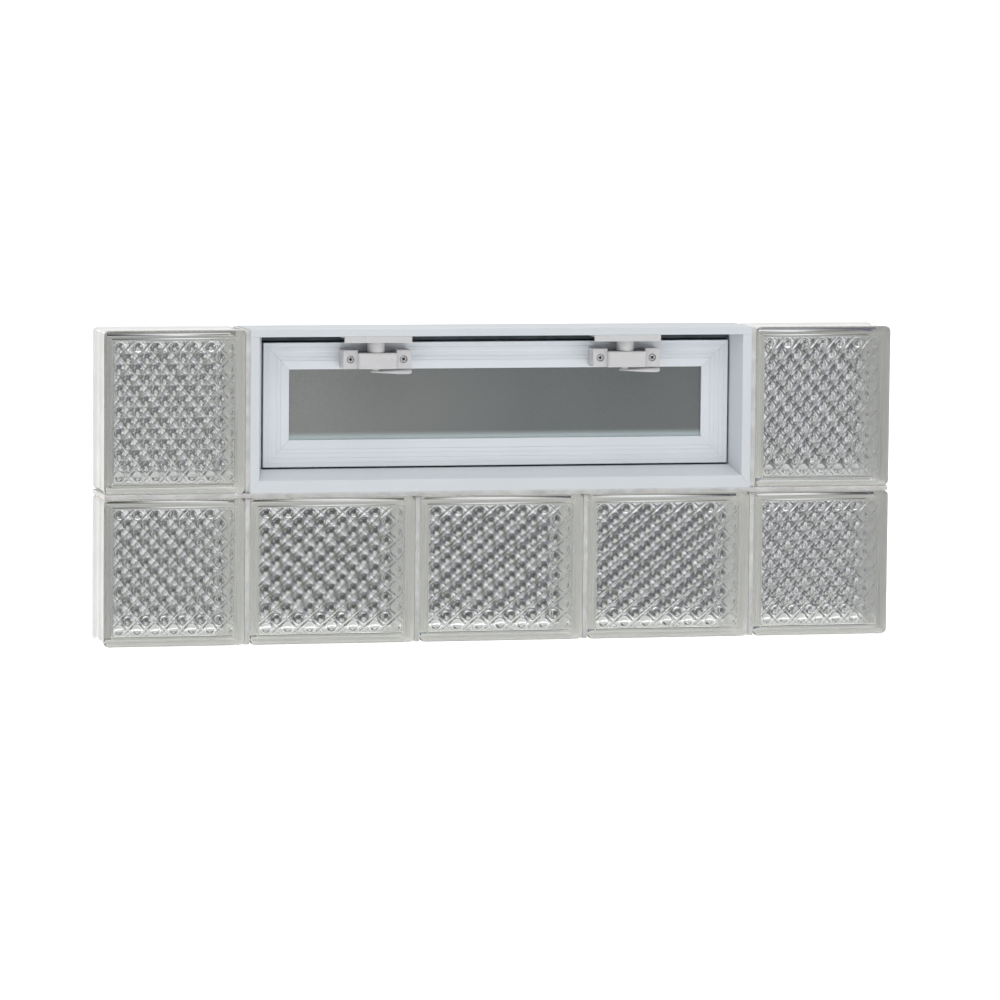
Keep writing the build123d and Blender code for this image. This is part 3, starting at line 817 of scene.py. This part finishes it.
def turn_lever(side):
    """The lever of a latch: a leaf that thickens to a rounded tip, its shaft and drum, and the lobe.

    The leaf's half width is a straight line along it, times the quarter ellipses of its
    two ends. Its middle sinks a little as it thickens.
    """
    low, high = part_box(f"latch_lever_{side}")
    axis_x, axis_y = low.x + lobe_reach, sash_face - latch_depth + shaft_set_back
    leaf_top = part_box(f"latch_base_{side}")[0].z - leaf_gap
    round_end = np.linspace(0, pi / 2, 9)
    along = np.concatenate([
        -leaf_heel * np.cos(round_end),
        np.linspace(0.003, 0.033, 11),
        leaf_length + leaf_tip * np.sin(round_end),
    ])
    heel_round = np.clip(1 - (np.minimum(along, 0) / leaf_heel) ** 2, 0, 1)
    tip_round = np.clip(1 - (np.maximum(along - leaf_length, 0) / leaf_tip) ** 2, 0, 1)
    width = np.interp(along, (0, leaf_length), (leaf_heel, leaf_tip))
    width = width * np.sqrt(heel_round) * np.sqrt(tip_round)
    thick = np.interp(along, leaf_places, leaf_thicknesses)
    drop = leaf_thicknesses[-1] - thick * 0.55
    middle = leaf_top - np.minimum(thick / 2 + 0.35 * drop, leaf_thicknesses[-1] / 2)
    leaf = lofted(axis_x + along, width, thick * tip_round**0.35 / 2, axis_y, middle, leaf_squareness)
    drum_foot = high.z - drum_height
    shaft_foot, shaft_top = leaf_top - shaft_overlap, drum_foot + 0.0004
    shaft_line = [(0, shaft_foot), (shaft_radius, shaft_foot), (shaft_radius, shaft_top), (0, shaft_top)]
    shaft = turned(shaft_line, axis_x, axis_y)
    quarter = [(sin(angle), cos(angle)) for angle in np.linspace(0, pi / 2, 5)]
    foot = [(drum_radius - drum_edge * (1 - s), drum_foot + drum_edge * (1 - c)) for s, c in quarter]
    rim = [(drum_radius - drum_edge * (1 - c), high.z - drum_edge * (1 - s)) for s, c in quarter]
    drum = turned([(0, drum_foot)] + foot + rim + [(0, high.z)], axis_x, axis_y)
    reach = np.append(np.linspace(-1, 0, 12), 0)
    past_tip = np.clip(-reach - 1 + lobe_tip_share, 0, 1)
    ends = np.clip(1 - past_tip**2 / lobe_tip_share**2, 0, 1) ** 0.5
    ends[-1] = 0
    lobe = lofted(
        axis_x + lobe_reach * reach,
        lobe_half_width * ends,
        lobe_half_height * ends,
        axis_y,
        np.full(len(reach), high.z - lobe_half_height),
        lobe_squareness,
    )
    sheets = [(leaf, 0, False, 0), (shaft, 0, False, 0), (drum, 0, False, 0), (lobe, 0, False, 0)]
    lever = welded_piece(f"turn_lever_{side}", sheets, [latch_plastic])
    lever.data.set_sharp_from_angle(angle=radians(50))
    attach(lever, f"lever_{side}")
    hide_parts(f"latch_lever_{side}")


for side in ("left", "right"):
    turn_lever(side)

# Screws: pan heads with a crossed slot, of white-coated steel. One is driven through each
# ear of a latch into the sash, in a shallow recess.
screw_paint, screw_nodes, screw_links, screw_shader = material(
    "coated_steel", Base_Color=(0.62, 0.62, 0.63, 1), Metallic=0.3, Roughness=0.35
)
screw_cloud = object_noise(screw_nodes, screw_links, 900)
tinted(screw_nodes, screw_links, screw_cloud, 0.28, 0.45, screw_shader.inputs["Roughness"])
grain(screw_nodes, screw_links, screw_shader, screw_cloud, 0.2, 0.0001)
screw_dark, dark_nodes, dark_links, dark_shader = material(
    "slot_shadow", Base_Color=(0.03, 0.03, 0.035, 1), Metallic=0.3, Roughness=0.6
)
grain(dark_nodes, dark_links, dark_shader, object_noise(dark_nodes, dark_links, 800), 0.3, 0.0002)
screw_radius, screw_rise, dome_fall, screw_skirt, screw_seat = 0.0037, 0.0021, 0.85, 0.0006, 0.0025
slot_half, slot_edge, slot_depth, slot_reach, dark_radius = 0.00080, 0.00020, 0.0016, 3.4, 0.0017


def pan_screw(name, centre, seat, turn):
    """A screw head that faces the room, with its rim on the seat.

    The height falls with the fourth power of the distance from the middle. A cross of two
    slots is sunk into it, as deep as the smooth step of the nearer slot's half width allows.
    """
    spread = np.linspace(0, 1, 15) ** 0.8 * screw_radius
    angle = np.linspace(0, 2 * pi, 49)
    r, a = np.meshgrid(spread, angle, indexing="ij")
    x, z = r * np.cos(a), r * np.sin(a)
    height = screw_rise * (1 - dome_fall * (r / screw_radius) ** 4)
    u, v = x * cos(turn) + z * sin(turn), z * cos(turn) - x * sin(turn)
    upright = np.maximum(np.abs(u), np.abs(v) / slot_reach)
    level = np.maximum(np.abs(v), np.abs(u) / slot_reach)
    slot = np.clip((slot_half - np.minimum(upright, level)) / slot_edge, 0, 1)
    height = height - slot_depth * slot * slot * (3 - 2 * slot)
    skirt = np.stack([x[-1], 0 * x[-1], z[-1]], -1)
    dome = np.stack([x, -height, z], -1)
    foot = skirt + np.array([0, screw_skirt, 0])
    sheet = np.concatenate([dome, foot[None], (foot * [0, 1, 0])[None]]) + [centre[0], seat, centre[1]]
    head = welded_piece(name, [(sheet, 0, True, 0)], [screw_paint, screw_dark], 1e-8)
    # The room-facing middle of each head takes the near-black material: a painted shadow for the slots.
    middle = np.array([centre[0], seat, centre[1]])
    away = np.linalg.norm((np.array([face.center for face in head.data.polygons]) - middle)[:, ::2], axis=1)
    facing = np.array([face.normal.y for face in head.data.polygons])
    painted_slot_shade = ((away < dark_radius) & (facing < 0)).astype(int)
    head.data.polygons.foreach_set("material_index", painted_slot_shade)
    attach(head, "window")


housing_width, ear_width, ear_height, ear_lift, ear_depth = 0.0430, 0.0160, 0.0200, 0.0004, 0.0220
for side in ("left", "right"):
    base_low, base_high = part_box(f"latch_base_{side}")
    ear_z = base_low.z + ear_lift + ear_height / 2
    for way, label in ((-1, "left"), (1, "right")):
        screw_x = (base_low.x + base_high.x) / 2 + way * (housing_width + ear_width) / 2
        seat = sash_face - ear_depth + screw_seat
        pan_screw(f"screw_{side}_{label}", (screw_x, ear_z), seat, 0.4 + way * 0.5)
